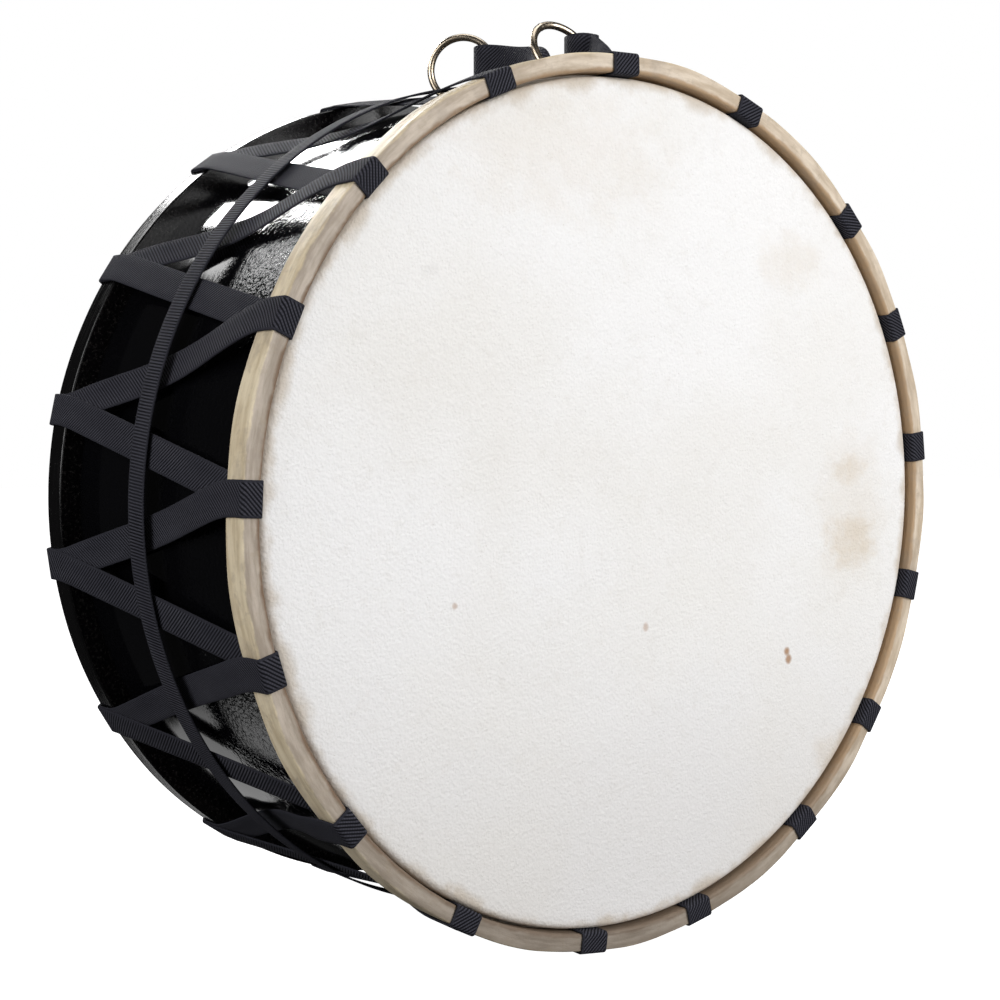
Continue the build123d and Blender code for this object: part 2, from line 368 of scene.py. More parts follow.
def shell_finish():
    """Black gloss lacquer whose orange peel is rougher towards the front hoop."""
    f = Finish("shell_lacquer", Coat_Weight=0.0, IOR=1.5)
    where = f.place()
    dust = f.noise(where, 0.9 * MM, 2)
    speck = f.between(dust, 0.66, 0.74)
    f.out("Base Color", f.mix(speck, (0.0022, 0.0022, 0.0028), (0.008, 0.008, 0.010)))
    haze = f.noise(where, 60 * MM, 3)
    f.out("Roughness", f.between(haze, 0.3, 0.7, 0.05, 0.12))
    _, y, _ = f.split(where)
    rough = f.between(y, FRONT_Y + 95 * MM, FRONT_Y + 150 * MM, 3.2, 1)
    peel = f.math("MULTIPLY", f.noise(where, 5 * MM, 2, 0.5), rough)
    swell = f.noise(where, 70 * MM, 1, 0.4)
    relief = f.bump(swell, 0.35 * MM)
    pimples = f.math("MULTIPLY", f.noise(where, 3.4 * MM, 2, 0.5), f.math("SUBTRACT", rough, 1.0))
    relief = f.bump(pimples, 0.30 * MM, relief)
    f.out("Normal", f.bump(peel, 0.022 * MM, relief))
    return f.material


def hoop_lacquer_finish():
    """Black lacquer brushed along the hoop, with wear specks."""
    f = Finish("hoop_lacquer", IOR=1.5)
    streaks = f.noise(f.place((1, 14, 1), uv=True), 26 * MM, 4)
    specks = f.between(f.noise(f.place(), 1.6 * MM, 3), 0.68, 0.75)
    f.out("Base Color", f.mix(specks, (0.0035, 0.0033, 0.0035), (0.05, 0.048, 0.046)))
    f.out("Roughness", f.between(streaks, 0.3, 0.7, 0.12, 0.34))
    relief = f.bump(streaks, 0.25 * MM)
    f.out("Normal", f.bump(f.noise(f.place(), 3 * MM, 3), 0.03 * MM, relief))
    return f.material


def wood_finish():
    """Sanded wood, on the rings inside the shell and the hoop under its lap."""
    f = Finish("raw_wood", Roughness=0.6)
    grain = f.noise(f.place((1, 30, 1)), 120 * MM, 6, 0.6, 0.4)
    f.out("Base Color", f.mix(grain, (0.50, 0.34, 0.19), (0.68, 0.52, 0.34)))
    f.out("Normal", f.bump(grain, 0.2 * MM))
    return f.material


class Stain:
    """A mark on the front hide, in millimetres from its centre."""

    def __init__(self, x, z, wide, high, colour, strength):
        self.x, self.z, self.wide, self.high = x, z, wide, high
        self.colour, self.strength = colour, strength


TAN = (0.66, 0.53, 0.37)
RUST = (0.42, 0.22, 0.10)
GREY = (0.36, 0.33, 0.31)
HEAD_STAINS = [
    Stain(221, -34, 22, 15, TAN, 0.42),
    Stain(222, -10, 26, 44, TAN, 0.16),
    Stain(220, 19, 13, 8, TAN, 0.38),
    Stain(153, 172, 24, 15, TAN, 0.20),
    Stain(201, -192, 15, 12, TAN, 0.32),
    Stain(153, -112, 2.2, 2.2, RUST, 0.95),
    Stain(155, -118, 2.4, 2.6, RUST, 0.9),
    Stain(14, -83, 1.9, 2.4, RUST, 0.5),
    Stain(-147, -57, 1.6, 1.6, RUST, 0.5),
    Stain(-165, 152, 6, 3, GREY, 0.10),
    Stain(-62, 233, 70, 34, TAN, 0.16),
]


def stained(f, where, colour, stains, x, rise):
    """Lays the stains over a colour, each an ellipse with a ragged edge."""
    for stain in stains:
        across = f.math("DIVIDE", f.math("SUBTRACT", x, stain.x * MM), stain.wide * MM)
        up = f.math("DIVIDE", f.math("SUBTRACT", rise, stain.z * MM), stain.high * MM)
        square = f.total(f.math("MULTIPLY", across, across), f.math("MULTIPLY", up, up))
        fray = f.between(f.noise(where, 17 * MM, 6, 0.65), 0.3, 0.7, -0.8, 0.8)
        colour = f.mix(f.between(f.total(square, fray), -0.4, 3.0, stain.strength, 0), colour, stain.colour)
    return colour


def hide_colour(f, where, tone, stains, x, rise, radius):
    """Cloudy and mottled and stained, darker low down as painted shade, and browner round the rim as painted
    shade.
    """
    def toned(*colour):
        return tuple(tone * c for c in colour)

    cloud = f.noise(where, 170 * MM, 3, 0.5)
    colour = f.mix(f.between(cloud, 0.35, 0.7), toned(0.93, 0.92, 0.915), toned(0.88, 0.86, 0.83))
    mottle = f.noise(where, 9 * MM, 5, 0.6)
    colour = f.mix(f.between(mottle, 0.5, 0.8, 0, 0.2), colour, toned(0.72, 0.68, 0.62))
    colour = stained(f, where, colour, stains, x, rise)
    # Painted shade: the lower part of the hide is darkened towards grey, where the front light falls off.
    drift = f.between(cloud, 0.3, 0.7, 0, 60 * MM)
    painted_low_shade = f.between(f.total(rise, drift), -250 * MM, -20 * MM, 0.34, 0)
    colour = f.mix(painted_low_shade, colour, toned(0.60, 0.57, 0.555))
    # Painted shade: brown-grey shade on the hide's rolled rim, where it turns down by the hoop.
    rim = f.total(radius, f.between(f.noise(where, 25 * MM, 4), 0.3, 0.7, -4 * MM, 4 * MM))
    shade = f.between(rim, SHELL_R - 10 * MM, SHELL_R + 1 * MM, 0, 0.65)
    colour = f.mix(shade, colour, (0.52, 0.42, 0.30))
    speck = f.between(f.cells(where, 7 * MM), 0.02, 0.07, 0.45, 0)
    return f.mix(speck, colour, (0.45, 0.40, 0.34))


def hide_finish(name, stains, tone=1.0, blacked_skirt=False):
    """Scraped rawhide: pebbled grain, cloudy tone, follicle specks, and stains."""
    f = Finish(name, Roughness=0.62, IOR=1.45)
    where = f.place()
    x, _, z = f.split(where)
    rise = f.math("SUBTRACT", z, AXIS_Z)
    radius = f.math("SQRT", f.total(f.math("MULTIPLY", x, x), f.math("MULTIPLY", rise, rise)))
    colour = hide_colour(f, where, tone, stains, x, rise, radius)
    bare = 1.0
    if blacked_skirt:
        paint = f.between(radius, SHELL_R - 1 * MM, SHELL_R, 0, 1)
        streak = f.noise(f.place(uv=True), 6 * MM, 3)
        colour = f.mix(paint, colour, f.mix(streak, (0.001, 0.001, 0.002), (0.005, 0.004, 0.004)))
        f.out("Roughness", f.between(radius, SHELL_R - 1 * MM, SHELL_R, 0.62, 0.16))
        bare = f.math("SUBTRACT", 1.0, f.math("MULTIPLY", paint, 0.9))
    dusting = f.between(f.noise(where, 2.4 * MM, 3, 0.6), 0.50, 0.72, 0, 0.07)
    f.out("Base Color", f.mix(dusting, colour, GREY))
    crumple = f.math("MULTIPLY", f.noise(where, 3.2 * MM, 4, 0.65, 0.8), bare)
    pebbles = f.math("MULTIPLY", f.cells(where, 2.1 * MM), bare)
    unevenness = f.math("MULTIPLY", f.noise(where, 14 * MM, 4), bare)
    relief = f.bump(pebbles, 0.26 * MM, f.bump(crumple, 0.5 * MM))
    f.out("Normal", f.bump(unevenness, 0.25 * MM, relief))
    return f.material


def lap_finish():
    """The hide lapped round the front hoop: cream outside and greyer in front, streaked round the hoop; its
    front and inner faces carry painted shade on the left, its inner face painted shade in its recess, and its
    lower part partly painted shade.
    """
    f = Finish("hide_lap", Roughness=0.55, IOR=1.45)
    where = f.place()
    along, across, _ = f.split(f.place(uv=True))
    x, _, z = f.split(where)
    rise = f.math("SUBTRACT", z, AXIS_Z)
    streak = f.noise(f.place((1, 6, 1), uv=True), 40 * MM, 6, 0.6)
    mottle = f.noise(where, 7 * MM, 5, 0.65)
    outer = f.mix(f.between(streak, 0.35, 0.7), (0.78, 0.67, 0.48), (0.56, 0.45, 0.29))
    # Painted light: the front face is darker to the left and down and paler to the right and up, as shaded
    # and lit copies of one hide.
    shaded = f.mix(f.between(streak, 0.3, 0.65), (0.56, 0.48, 0.40), (0.34, 0.28, 0.22))
    pale = f.mix(f.between(streak, 0.3, 0.65), (0.78, 0.67, 0.54), (0.54, 0.43, 0.31))
    painted_lit_side = f.between(f.total(x, f.math("MULTIPLY", rise, 0.5)), -0.20, 0.22)
    front = f.mix(painted_lit_side, shaded, pale)
    wander = f.between(f.noise(where, 18 * MM, 3), 0.3, 0.7, -0.8 * MM, 0.8 * MM)
    edge = f.total(across, wander)
    colour = f.mix(f.between(edge, LAP_OUTER_V - 1.5 * MM, LAP_OUTER_V + 0.2 * MM), outer, front)
    # Painted shade: the inner face, in the recess by the head, is painted dark brown, darker still on the
    # left.
    inner = f.between(edge, LAP_OUTER_V + 7.0 * MM, LAP_OUTER_V + 9.5 * MM)
    colour = f.mix(inner, colour, f.mix(painted_lit_side, (0.20, 0.13, 0.08), (0.46, 0.31, 0.18)))
    colour = f.mix(f.between(mottle, 0.50, 0.72, 0, 0.42), colour, (0.40, 0.32, 0.23))
    smudge = f.between(f.noise(where, 38 * MM, 5, 0.6), 0.52, 0.70, 0, 0.40)
    colour = f.mix(smudge, colour, (0.30, 0.24, 0.19))
    # Darker towards the bottom: partly painted shade where the light falls off low down, partly dirt.
    colour = f.mix(f.between(rise, -0.30, -0.13, 0.55, 0), colour, (0.17, 0.14, 0.11))
    seam_u = (360 + HIDE_SEAM) / 360 * 2 * pi * HOOP_R
    slant = f.total(along, f.math("MULTIPLY", across, 0.25))
    from_seam = f.math("ABSOLUTE", f.math("SUBTRACT", slant, seam_u))
    seam = f.between(from_seam, 0.3 * MM, 1.3 * MM, 1, 0)
    colour = f.mix(f.math("MULTIPLY", seam, 0.6), colour, (0.26, 0.19, 0.12))
    f.out("Base Color", colour)
    relief = f.bump(streak, 0.9 * MM, f.bump(seam, 0.6 * MM))
    f.out("Normal", f.bump(mottle, 0.45 * MM, relief))
    return f.material


def webbing_finish(name, lean):
    """Woven nylon webbing. lean is how far its ribs lean from straight across; the back mirrors the front."""
    f = Finish(name, Roughness=0.85, IOR=1.46, Specular_IOR_Level=0.22)
    pitch = 2.1 * MM
    along, around, _ = f.split(f.place(uv=True))
    across = f.math("SUBTRACT", WEB_W, f.math("ABSOLUTE", f.math("SUBTRACT", around, WEB_W)))
    cosine, sine = cos(radians(lean)), sin(radians(lean))
    over_ribs = f.math("SUBTRACT", f.math("MULTIPLY", along, cosine), f.math("MULTIPLY", across, sine))
    along_ribs = f.total(f.math("MULTIPLY", along, sine), f.math("MULTIPLY", across, cosine))
    ribs = f.ribs(f.joined(over_ribs, along_ribs), pitch, 0.5)
    yarns = f.ribs(f.joined(along_ribs, over_ribs), 0.85 * pitch, 0.5)
    worn = f.noise(f.place((1, 2, 1), uv=True), 55 * MM, 3)
    strength = f.between(worn, 0.35, 0.65, 0.75, 1)
    height = f.math("MULTIPLY", f.between(ribs, 0.25, 0.75), f.between(yarns, 0, 1, 0.7, 1))
    height = f.total(0.5, f.math("MULTIPLY", f.math("SUBTRACT", height, 0.5), strength))
    from_middle = f.math("ABSOLUTE", f.math("SUBTRACT", across, WEB_W / 2))
    selvedge = f.between(from_middle, WEB_W / 2 - 1.9 * MM, WEB_W / 2 - 1.3 * MM)
    fade = f.noise(f.place((1, 3, 1), uv=True), 80 * MM, 4)
    light = f.mix(f.between(fade, 0.3, 0.7), (0.050, 0.050, 0.066), (0.072, 0.072, 0.090))
    # Painted shade: the troughs between the ribs are painted nearly black and the raised yarns lighter,
    # following the rib height.
    colour = f.mix(height, (0.003, 0.003, 0.006), light)
    colour = f.mix(selvedge, colour, (0.026, 0.026, 0.035))
    lint = f.between(f.noise(f.place(), 1.3 * MM, 4, 0.7), 0.70, 0.78, 0, 0.25)
    f.out("Base Color", f.mix(lint, colour, (0.14, 0.14, 0.17)))
    f.out("Normal", f.bump(height, 0.45 * MM))
    return f.material


def steel_finish():
    """Nickel-plated wire, dulled and finely scratched."""
    f = Finish("ring_steel", Metallic=1.0, IOR=1.5)
    tarnish = f.noise(f.place(), 9 * MM, 5, 0.6)
    f.out("Base Color", f.mix(f.between(tarnish, 0.35, 0.7), (0.70, 0.61, 0.49), (0.46, 0.37, 0.26)))
    f.out("Roughness", f.between(tarnish, 0.3, 0.75, 0.22, 0.38))
    scratches = f.noise(f.place((1, 20, 1), uv=True), 8 * MM, 4)
    f.out("Normal", f.bump(scratches, 0.012 * MM))
    return f.material


def thread_finish():
    """Black sewing thread."""
    f = Finish("thread", Roughness=0.5, Sheen_Weight=0.2)
    twist = f.noise(f.place(), 0.5 * MM, 2)
    f.out("Base Color", f.mix(twist, (0.008, 0.008, 0.012), (0.030, 0.031, 0.040)))
    f.out("Normal", f.bump(twist, 0.08 * MM))
    return f.material


# ---------------------------------------------------------------- pieces


def make_shell(material):
    """The bent shell, with a faint unevenness that fades out towards its edges."""
    inside, start, end = SHELL_R - SHELL_T, SHELL_END, DEPTH - SHELL_END
    edge = SHELL_ROUND
    outside = corner(SHELL_R - edge, start + edge, edge, -90, 0)
    outside += between((SHELL_R, start + edge), (SHELL_R, end - edge), 30)
    outside += corner(SHELL_R - edge, end - edge, edge, 0, 90)
    profile = [(inside, start)] + outside + [(inside, end)]
    swell, lean = waves(11, 3, 14), waves(12, 2, 9)

    def shift(angle, index):
        radius, depth = profile[index]
        if radius < SHELL_R - 0.1 * MM:
            return 0, 0
        fade = sin(pi * (depth - start) / (end - start)) ** 2
        return -0.12 * MM * fade * (1 + swell(angle + 200 * depth) + 0.5 * lean(angle)), 0

    mesh = revolved("drum_shell", profile, 360, True, shift)
    piece = finish_mesh("drum_shell", mesh, material, "drum")
    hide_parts("shell")


def head_profile(flip, rim_radius):
    """Head, bearing roll, skirt and flange from the middle outwards, then back along the underside.

    The front flange is inside the hoop's width, as the lap takes it in, and the rear one is outside it.
    """
    flange = HOOP_W if flip else HOOP_W - HIDE_T
    roll = SHELL_ROUND + HIDE_T
    start = [(2 * MM, RECESS)]
    flat_end = (SKIRT_R - roll, RECESS)
    top = start + between(start[0], flat_end, 36)
    top += corner(SKIRT_R - roll, RECESS + roll, roll, -90, 0, 8)
    top += [(SKIRT_R, flange), (rim_radius, flange)]
    under = [(rim_radius, flange + HIDE_T), (SHELL_R, flange + HIDE_T)]
    under += corner(SHELL_R - SHELL_ROUND, SHELL_END + SHELL_ROUND, SHELL_ROUND, 0, -90, 8)
    under += [(2 * MM, RECESS + HIDE_T)]
    profile = top + under
    return [(r, DEPTH - y) for r, y in profile] if flip else profile


def make_head(name, node, material, flip, rim_radius, seed):
    """A hide, very slightly uneven over its flat."""
    profile = head_profile(flip, rim_radius)
    dish, ripple = waves(seed, 1, 4), waves(seed + 1, 2, 7)

    def shift(angle, index):
        radius = profile[index][0]
        if radius > SKIRT_R - 6 * MM:
            return 0, 0
        share = radius / SHELL_R
        bulge = 0.35 * MM * sin(pi * share) * (dish(angle) + 0.6 * ripple(angle + 300 * share))
        return 0, bulge

    piece = finish_mesh(name, revolved(name, profile, 288, False, shift), material, "drum")
    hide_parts(node)


def lap_swelling(angle):
    """How far the lap stands out between two loops of the lacing, which pinch it flat."""
    after = [a for a in FRONT_LOOPS if a > angle]
    before = [a for a in FRONT_LOOPS if a <= angle]
    next_loop = after[0] if after else FRONT_LOOPS[0] + 360
    last_loop = before[-1] if before else FRONT_LOOPS[-1] - 360
    return 0.9 * MM * sin(pi * (angle - last_loop) / (next_loop - last_loop)) ** 2


def make_lap(material):
    """The hide's lap round the front hoop, with an uneven ridge where it turns on to the front face."""
    low, high = HOOP_IN_R, HOOP_R
    inner_end = HOOP_W - 4 * MM
    profile = [(low + LAP_INNER, HOOP_W - 0.1 * MM), (high - LAP_REAR, HOOP_W)]
    profile += corner(high - LAP_REAR, HOOP_W - LAP_REAR, LAP_REAR, 90, 0, 3)[1:]
    profile += between((high, HOOP_W - LAP_REAR), (high, LAP_RIDGE), 5)
    profile += corner(high - LAP_RIDGE, LAP_RIDGE, LAP_RIDGE, 0, -90, 3)
    profile += between((high - LAP_RIDGE, 0), (low + LAP_INNER, 0), 4)
    profile += corner(low + LAP_INNER, LAP_INNER, LAP_INNER, -90, -180, 4)
    profile += between((low, LAP_INNER), (low, inner_end), 3)
    visible = len(profile)
    profile += [(low, inner_end), (low + HIDE_T, inner_end), (low + 2.2 * MM, 2.6 * MM)]
    profile += [(high - 2 * MM, 2.2 * MM), (high - 2 * MM, HOOP_W - 2 * MM), (low + 2 * MM, HOOP_W - HIDE_T)]
    outer, front, fine = waves(21, 5, 30), waves(22, 6, 38), waves(23, 30, 90)

    def shift(angle, index):
        radius, depth = profile[index]
        if index > visible or index == 0:
            return 0, 0
        push_in = 0.32 * MM * (1 + outer(angle + 900 * depth)) + 0.05 * MM * fine(angle)
        push_back = 0.30 * MM * (1 + front(angle + 700 * (high - radius))) + 0.05 * MM * fine(angle + 90)
        out_side = max(0.0, (radius - (low + high) / 2) / (high - low) * 2)
        front_side = max(0.0, 1 - depth / (HOOP_W / 2))
        out = lap_swelling(angle) - min(push_in, 0.7 * MM)
        return out * out_side, min(push_back, 0.7 * MM) * front_side

    mesh = revolved("front_hoop_lap", profile, 540, True, shift)
    piece = finish_mesh("front_hoop_lap", mesh, material, "drum", 50)
    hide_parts("front_head")


def make_rear_hoop(material):
    """The rear hoop, slightly uneven on its outside."""
    round_r = 1.6 * MM
    low, high = HOOP_IN_R + round_r, HOOP_R - round_r
    start, end = DEPTH - HOOP_W + round_r, DEPTH - round_r
    profile = corner(high, start, round_r, -90, 0)
    profile += between((HOOP_R, start), (HOOP_R, end), 3)
    profile += corner(high, end, round_r, 0, 90)
    profile += corner(low, end, round_r, 90, 180)
    profile += corner(low, start, round_r, 180, 270)
    swell = waves(31, 4, 20)

    def shift(angle, index):
        return (-0.15 * MM * (1 + swell(angle)), 0) if profile[index][0] > high else (0, 0)

    mesh = revolved("rear_hoop_lacquered", profile, 360, True, shift)
    piece = finish_mesh("rear_hoop_lacquered", mesh, material, "drum")
    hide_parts("rear_hoop")


def loop_route(angle, flip, upper=False):
    """The strap's line round a hoop, from inside it to outside, as (radius, angle, depth).

    An upper layer starts at the hoop's inner edge and lies over the strap that is already there.
    """
    lift = WEB_T if upper else 0
    bend = 1.5 * MM + WEB_T / 2
    leg_end = HOOP_W - HIDE_T - 0.05 * MM
    face = -WEB_T / 2 - lift
    outer = STRAP_OUT_R + lift
    inner_turn = (STRAP_IN_R + bend, face)
    if upper:
        route = [(STRAP_IN_R, face)] + between((STRAP_IN_R, face), inner_turn, 2) + [inner_turn]
    else:
        route = [(STRAP_IN_R, leg_end)]
        route += between((STRAP_IN_R, leg_end), (STRAP_IN_R, face + bend), 3)
        route += corner(STRAP_IN_R + bend, face + bend, bend, 180, 270, 5)
    bend += lift
    route += between(inner_turn, (outer - bend, face), 3)
    route += corner(outer - bend, face + bend, bend, -90, 0, 5)
    route += between((outer, face + bend), (outer, HOOP_W), 3)
    route += [(outer, HOOP_W)]
    return [(r, angle, DEPTH - y if flip else y) for r, y in route]


def span_route(start, end, drawn_in, count=22):
    """Places on the line between two places, without its ends, drawn in towards the axis at its middle."""
    a, b = place(*start), place(*end)
    route = []
    for share in np.linspace(0, 1, count + 2)[1:-1]:
        point = a.lerp(b, share)
        x, z = point.x, point.z - AXIS_Z
        angle = np.degrees(np.arctan2(z, x))
        angle = start[1] + (angle - start[1] + 180) % 360 - 180
        radius = float(np.hypot(x, z)) - drawn_in * sin(pi * share) ** 2
        route.append((radius, float(angle), point.y - FRONT_Y))
    return route


def eased(angles, length, reach):
    """Angles along a closed run of once round, smoothed over a reach, so that the strap turns gently."""
    total = length[-1]
    trend = 360 * length[:-1] / total
    step = 1 * MM
    grid = np.arange(0, total, step)
    offset = np.interp(grid, length, np.append(angles - trend, angles[0]))
    half = round(3 * reach / step)
    kernel = np.exp(-0.5 * (np.arange(-half, half + 1) * step / reach) ** 2)
    kernel /= kernel.sum()
    padded = np.concatenate([offset[-half:], offset, offset[:half]])
    return np.interp(length[:-1], grid, np.convolve(padded, kernel, "valid")) + trend


def lacing_route():
    """The whole zigzag once round, and where along it each run of strap ends, on top of the rear hoop."""
    over_dip = STRAP_OUT_R - CHORD_SAG - LOWER_DRAWN_R
    back_dip = (STRAP_OUT_R + WEB_T + STRAP_IN_R) / 2 - CHORD_SAG - UPPER_DRAWN_R
    next_fronts = FRONT_LOOPS[1:] + [FRONT_LOOPS[0] + 360]
    route, run_ends = [], []
    for front, rear, next_front in zip(FRONT_LOOPS, REAR_LOOPS, next_fronts):
        front_loop = loop_route(front, False)
        arriving = loop_route(rear, True)[::-1]
        route += front_loop + span_route(front_loop[-1], arriving[0], over_dip) + arriving
        run_ends.append(len(route))
        leaving = loop_route(rear, True, True)
        route += leaving + span_route(leaving[-1], loop_route(next_front, False)[0], back_dip)
    return route, run_ends


def make_lacing(material):
    """The lacing, one run of strap after another: each comes up from the rear hoop's inner edge, lies over
    that hoop, passes under the front hoop and over it, and goes back to lie on the rear hoop again."""
    route, run_ends = lacing_route()
    radius, angle, depth = (np.array(column) for column in zip(*route))
    closed = np.array([place(*p) for p in route + route[:1]])
    length = np.concatenate([[0], np.cumsum(np.linalg.norm(np.diff(closed, axis=0), axis=1))])
    angle = eased(angle, length, 9 * MM)
    centres = np.array([place(*p) for p in zip(radius, angle, depth)])
    across = np.array([(-sin(radians(a)), 0, cos(radians(a))) for a in angle])
    spans = ["lacing_spans_over_front", "lacing_spans_over_rear"]
    run_starts = [run_ends[-1] - len(route)] + run_ends[:-1]  # the first run starts before the route does
    for index, (run_start, run_end) in enumerate(zip(run_starts, run_ends)):
        name = f"lacing_strap_{index + 1:02d}"
        picks = np.arange(run_start, run_end) % len(route)
        mesh = strap_mesh(name, centres[picks], across[picks], WEB_W, WEB_T)
        piece = finish_mesh(name, mesh, material, "drum", 60)
        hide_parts("lacing_front_loops", "lacing_rear_loops", *spans)


BELT_LAP = (306, 318)


def make_belt(material, thread):
    """The belt, whose upper end climbs over its lower end at the lap."""
    climbing = 3  # degrees
    overlap = WEB_T + 0.05 * MM
    angles = np.arange(BELT_LAP[0], BELT_LAP[1] + 360.1, 1.0)
    climb_to = BELT_LAP[0] + 360
    centres = []
    across = []
    for angle in angles:
        climb = min(max((angle - climb_to + climbing) / climbing, 0), 1)
        climb = climb * climb * (3 - 2 * climb)
        centres.append(place(BELT_R + overlap * climb, angle, BELT_Y))
        across.append((0, 1, 0))
    mesh = strap_mesh("belt_strap", centres, across, WEB_W, WEB_T)
    piece = finish_mesh("belt_strap", mesh, material, "drum", 60)
    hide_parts("belt")
    seams = []
    top = BELT_R + WEB_T / 2 + overlap
    for share in (0.25, 0.5, 0.75):
        angle = BELT_LAP[0] + (BELT_LAP[1] - BELT_LAP[0]) * share
        out = place(1, angle, 0) - place(0, angle, 0)
        low, high = (place(top, angle, BELT_Y + edge * WEB_W * 0.38) for edge in (-1, 1))
        seams += stitch_row(low, high, out)
    make_stitches("belt_stitches", "belt", seams, thread)


def make_stitches(name, node, seams, material):
    """Short arcs of thread standing on a strap. Each stitch is its two ends and the way out of the strap."""
    around, along = 6, 5
    thread_r = 0.32 * MM
    vertices, faces = [], []
    for start, end, out in seams:
        run = end - start
        side = run.cross(out).normalized()
        first = len(vertices)
        for i in range(along):
            share = i / (along - 1)
            middle = start + run * share + out * (0.42 * MM * sin(pi * share) - 0.12 * MM)
            size = thread_r * (0.55 + 0.45 * sin(pi * share))
            for j in range(around):
                turn = 2 * pi * j / around
                vertices.append(middle + side * size * cos(turn) + out * size * sin(turn))
        for i in range(along - 1):
            for j in range(around):
                a, b = first + i * around + j, first + i * around + (j + 1) % around
                faces.append((a, b, b + around, a + around))
        faces.append([first + j for j in range(around)])
        faces.append([first + (along - 1) * around + j for j in range(around)])
    mesh = bpy.data.meshes.new(name)
    mesh.from_pydata([tuple(v) for v in vertices], [], faces)
    piece = finish_mesh(name, mesh, material, "drum", 80)
    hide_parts(node)


def stitch_row(start, end, out, pitch=2.6 * MM):
    """Stitches in a row between two points, with a small gap after each."""
    count = max(1, round((end - start).length / pitch))
    step = (end - start) / count
    return [(start + step * i, start + step * (i + 0.78), out) for i in range(count)]


# The ring tabs, from the ring to the root: places in millimetres, and the way the width lies at each
REAR_TAB = [
    ((16.3, 177.6, 326), (0, 0, 1)),
    ((15.0, 150, 320), (0.1, 0, 1)),
    ((12.0, 130, 317.5), (0.35, 0, 0.94)),
    ((6.0, 116, 315), (0.75, 0, 0.66)),
    ((0.0, 109, 306.5), (1, 0, 0.1)),
    ((-4.0, 111, 298), (1, 0, 0)),
    ((-8.0, 121, 292.9), (1, 0, 0)),
    ((-8.0, 160, 292.9), (1, 0, 0)),
]
FRONT_TAB = [
    ((28.0, 80.2, 320), (0, 0, 1)),
    ((19.0, 69, 315), (0.3, 0, 1)),
    ((8.5, 54, 309), (0.7, 0, 0.8)),
    ((-2.5, 38, 304.5), (1, 0, 0.3)),
    ((-10.5, 23, 303.2), (1, 0, 0)),
]
# Their eyes: the middle of each, and its width and length, in millimetres
REAR_EYE = ((15.9, 187.5, 326), (17.0, 19.5))
FRONT_EYE = ((29.6, 92.8, 320.5), (20.0, 28.0))
SEAM_SECTIONS = (3, 6)  # which of a tab's smoothed sections are sewn through


def smooth_through(values, steps):
    """A Catmull-Rom curve through a list of vectors."""
    values = np.array(values, dtype=float)
    padded = np.vstack([2 * values[0] - values[1], values, 2 * values[-1] - values[-2]])
    result = []
    for k in range(1, len(padded) - 2):
        a, b, c, d = padded[k - 1], padded[k], padded[k + 1], padded[k + 2]
        for t in np.linspace(0, 1, steps, endpoint=False):
            straight = 2 * b + (c - a) * t
            bend = (2 * a - 5 * b + 4 * c - d) * t**2
            twist = (3 * b - a - 3 * c + d) * t**3
            result.append(0.5 * (straight + bend + twist))
    result.append(values[-1])
    return np.array(result)


def eye_path(eye):
    """Places round a tab's eye, open towards the tab."""
    at, (wide, long) = eye
    middle = place_mm(*at)
    half_wide = wide * MM / 2 + WEB_T / 2
    half_long = long * MM / 2 + WEB_T / 2
    path = []
    for turn in np.linspace(-1, 1, 25):
        swing = turn * 0.80 * pi
        path.append((middle.x + half_wide * sin(swing), middle.y + half_long * cos(swing), middle.z))
    return path


def make_tab(name, node, sections, eye, material, thread):
    """A strap folded in two round a ring: its two layers lie together, and part at the eye."""
    centres = smooth_through([place_mm(*at) for at, _ in sections], 6)
    across = smooth_through([width for _, width in sections], 6)
    across /= np.linalg.norm(across, axis=1)[:, None]
    tangent = np.gradient(centres, axis=0)
    tangent /= np.linalg.norm(tangent, axis=1)[:, None]
    normal = np.cross(tangent, across)
    normal /= np.linalg.norm(normal, axis=1)[:, None]
    gap = WEB_T / 2 + 0.02 * MM
    one, other = centres + gap * normal, centres - gap * normal
    round_eye = eye_path(eye)
    if (one[0] - other[0])[0] > 0:
        round_eye.reverse()
    reaches = [np.linalg.norm(layer[0] - np.array(round_eye[0])) for layer in (one, other)]
    first, second = (one, other) if reaches[0] < reaches[1] else (other, one)
    path = np.vstack([first[::-1], round_eye, second])
    widths = np.vstack([across[::-1], [(0, 0, 1)] * len(round_eye), across])
    for _ in range(3):
        path[1:-1] = 0.25 * path[:-2] + 0.5 * path[1:-1] + 0.25 * path[2:]
    mesh = strap_mesh(name, path, widths, WEB_W, WEB_T * 0.98)
    piece = finish_mesh(name, mesh, material, "drum", 60)
    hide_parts(node)
    seams = []
    for side in (1, -1):
        for index in SEAM_SECTIONS:
            out = Vector(side * normal[index])
            middle = Vector(centres[index]) + out * (gap + WEB_T / 2)
            reach = Vector(across[index]) * WEB_W * 0.36
            seams += stitch_row(middle - reach, middle + reach, out)
    make_stitches(name + "_stitches", node, seams, thread)


